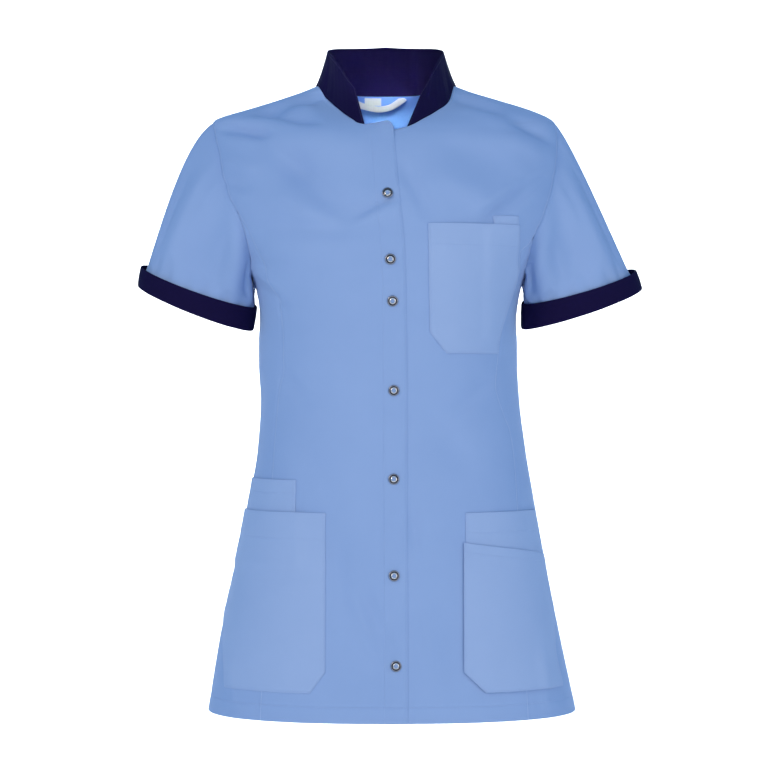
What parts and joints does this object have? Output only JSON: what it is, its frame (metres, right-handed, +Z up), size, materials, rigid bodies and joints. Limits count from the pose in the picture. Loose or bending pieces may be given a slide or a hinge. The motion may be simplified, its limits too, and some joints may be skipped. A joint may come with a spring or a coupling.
{
  "type": "medical tunic",
  "caption": "Short sleeved medical tunic with a stand collar, cuffs, patch pockets and a front closed by ring snaps, in its worn shape, hollow and open at neck, cuffs and hem.",
  "frame": {"origin": "centre of the neck base, at the height of the points where the shoulder seams meet the collar", "axes": "+Z up along the garment, -Y out of the front, +X towards the wearer's left"},
  "size_m": [0.599, 0.29, 0.7931],
  "materials": {
    "cloth": "plain weave polyester cotton, mid blue",
    "trim": "plain weave polyester cotton, navy",
    "snap": "pressed ring snap, nickel plated",
    "tape": "white woven tape"
  },
  "bodies": {
    "root": {"front_right": "cloth", "front_left": "cloth", "side_front_right": "cloth", "side_front_left": "cloth", "back": "cloth", "side_back_right": "cloth", "side_back_left": "cloth", "sleeve_right": "cloth", "sleeve_left": "cloth", "hip_pocket_right": "cloth", "small_pocket_right": "cloth", "hip_pocket_left": "cloth", "hip_pocket_left_front": "cloth", "chest_pocket": "cloth", "pen_pocket": "cloth", "collar": "trim", "cuff_right": "trim", "cuff_left": "trim", "snap_1": "snap", "snap_2": "snap", "snap_3": "snap", "snap_4": "snap", "snap_5": "snap", "snap_6": "snap", "snap_7": "snap", "hanger_loop": "tape", "neck_label": "tape"}
  },
  "joints": []
}
